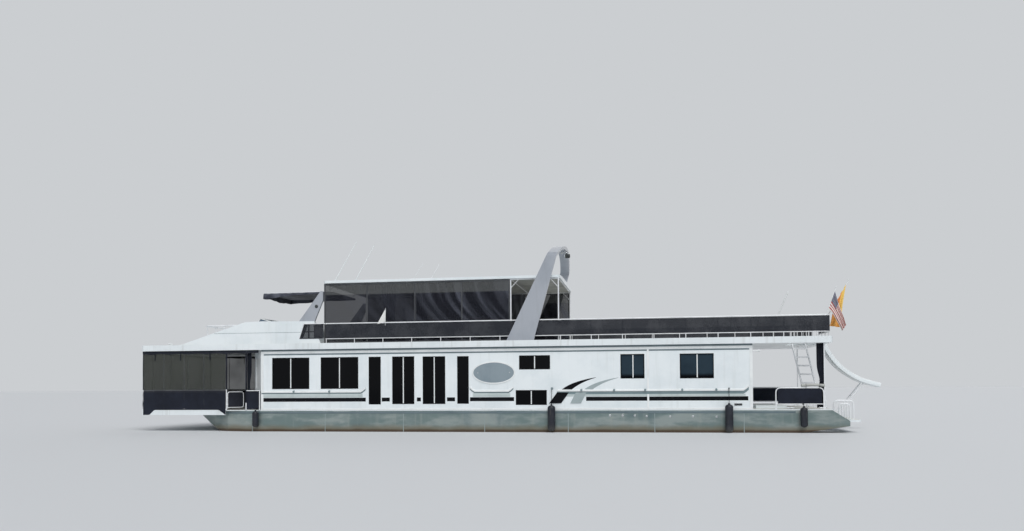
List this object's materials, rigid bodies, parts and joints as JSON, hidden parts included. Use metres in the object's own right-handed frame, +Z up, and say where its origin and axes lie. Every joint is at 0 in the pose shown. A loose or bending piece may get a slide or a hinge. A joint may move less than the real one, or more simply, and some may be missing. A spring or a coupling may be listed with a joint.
{
  "type": "houseboat",
  "caption": "Long shallow-hulled houseboat with a screened fore porch, a windowed cabin, a fly bridge under a hardtop, a radar arch and a water slide.",
  "frame": {"origin": "on the waterline plane, amidships, on the centreline", "axes": "+X to the bow, +Y to port, +Z up"},
  "size_m": [26.1152, 5.1803, 7.8655],
  "materials": {
    "hull_metal": "bare aluminium, dull, stained near the waterline",
    "gelcoat": "white gelcoat, satin gloss",
    "engine_paint": "dark satin paint",
    "propeller_metal": "machined",
    "window": "dark tinted glass in dark frames",
    "silver_paint": "silver grey, satin",
    "mesh_fabric": "dark woven mesh",
    "rail_tube": "polished tube",
    "seat_vinyl": "pale vinyl",
    "navy_fabric": "navy canvas",
    "clear_screen": "fine brown-grey mesh",
    "fender_vinyl": "dark navy vinyl",
    "ensign_cloth": "woven cloth with stripes",
    "pennant_cloth": "thin yellow-orange cloth"
  },
  "bodies": {
    "boat": {"hull": "hull_metal", "main_deck": "gelcoat", "swim_platform": "gelcoat", "front_bulkhead": "gelcoat", "aft_bulkhead": "gelcoat", "upper_deck": "gelcoat", "bridge_fairing": "gelcoat", "helm_console": "gelcoat", "hardtop": "gelcoat", "slide": "gelcoat", "port_engine": "engine_paint", "port_wall_forward": "gelcoat", "port_wall_aft": "gelcoat", "port_windows": "window", "port_bridge_fin": "silver_paint", "port_side_screen": "mesh_fabric", "port_rail_mesh": "mesh_fabric", "port_upper_rail": "rail_tube", "port_stern_rail": "rail_tube", "port_aft_rail": "rail_tube", "starboard_engine": "engine_paint", "starboard_wall_forward": "gelcoat", "starboard_wall_aft": "gelcoat", "starboard_windows": "window", "starboard_bridge_fin": "silver_paint", "starboard_side_screen": "mesh_fabric", "starboard_rail_mesh": "mesh_fabric", "starboard_upper_rail": "rail_tube", "starboard_stern_rail": "rail_tube", "starboard_aft_rail": "rail_tube", "front_glazing": "window", "windshield": "window", "helm_seat": "seat_vinyl", "slope_rail": "rail_tube", "hardtop_frame": "rail_tube", "porch_frame": "rail_tube", "boarding_ladder": "rail_tube", "forward_awning": "navy_fabric", "porch_skirt": "navy_fabric", "aft_curtain": "navy_fabric", "radar_arch": "silver_paint", "porch_screen": "clear_screen", "fender_bow": "fender_vinyl", "fender_middle": "fender_vinyl", "fender_quarter": "fender_vinyl", "fender_stern": "fender_vinyl", "ensign_flag": "ensign_cloth", "pennant_flag": "pennant_cloth"},
    "port_hatch": {"port_engine_hatch": "gelcoat"},
    "starboard_hatch": {"starboard_engine_hatch": "gelcoat"},
    "port_drive": {"port_drive_leg": "engine_paint"},
    "starboard_drive": {"starboard_drive_leg": "engine_paint"},
    "port_prop": {"port_propeller": "propeller_metal"},
    "starboard_prop": {"starboard_propeller": "propeller_metal"},
    "front_door": {"front_sliding_door": "window"},
    "rear_door": {"aft_door": "gelcoat"},
    "port_gate_leaf": {"port_gate": "rail_tube"},
    "starboard_gate_leaf": {"starboard_gate": "rail_tube"}
  },
  "joints": [
    {"name": "port_hatch_hinge", "type": "hinge", "parent": "boat", "child": "port_hatch", "pos_m": [-10.364, 0.925, 0.776], "axis": [0, -1, 0], "range_deg": [0, 75]},
    {"name": "port_drive_steer", "type": "hinge", "parent": "boat", "child": "port_drive", "pos_m": [-10.76, 0.85, 0], "axis": [0, 0, 1], "range_deg": [-28, 28]},
    {"name": "port_propeller_spin", "type": "hinge", "parent": "port_drive", "child": "port_prop", "pos_m": [-11.24, 0.85, -0.78], "axis": [1, 0, 0], "continuous": true},
    {"name": "starboard_hatch_hinge", "type": "hinge", "parent": "boat", "child": "starboard_hatch", "pos_m": [-10.364, -0.925, 0.776], "axis": [0, -1, 0], "range_deg": [0, 75]},
    {"name": "starboard_drive_steer", "type": "hinge", "parent": "boat", "child": "starboard_drive", "pos_m": [-10.76, -0.85, 0], "axis": [0, 0, 1], "range_deg": [-28, 28]},
    {"name": "starboard_propeller_spin", "type": "hinge", "parent": "starboard_drive", "child": "starboard_prop", "pos_m": [-11.24, -0.85, -0.78], "axis": [1, 0, 0], "continuous": true},
    {"name": "front_door_slide", "type": "slide", "parent": "boat", "child": "front_door", "axis": [0, -1, 0], "range_m": [0, 0.85]},
    {"name": "aft_door_hinge", "type": "hinge", "parent": "boat", "child": "rear_door", "pos_m": [-9.14, -0.384, 0], "axis": [0, 0, 1], "range_deg": [0, 90]},
    {"name": "port_gate_hinge", "type": "hinge", "parent": "boat", "child": "port_gate_leaf", "pos_m": [9.095, 2.42, 0], "axis": [0, 0, 1], "range_deg": [-60, 30]},
    {"name": "starboard_gate_hinge", "type": "hinge", "parent": "boat", "child": "starboard_gate_leaf", "pos_m": [9.095, -2.42, 0], "axis": [0, 0, -1], "range_deg": [0, 90]}
  ],
  "couplings": [
    {"joint": "starboard_drive_steer", "follows": "port_drive_steer", "ratio": 1}
  ]
}
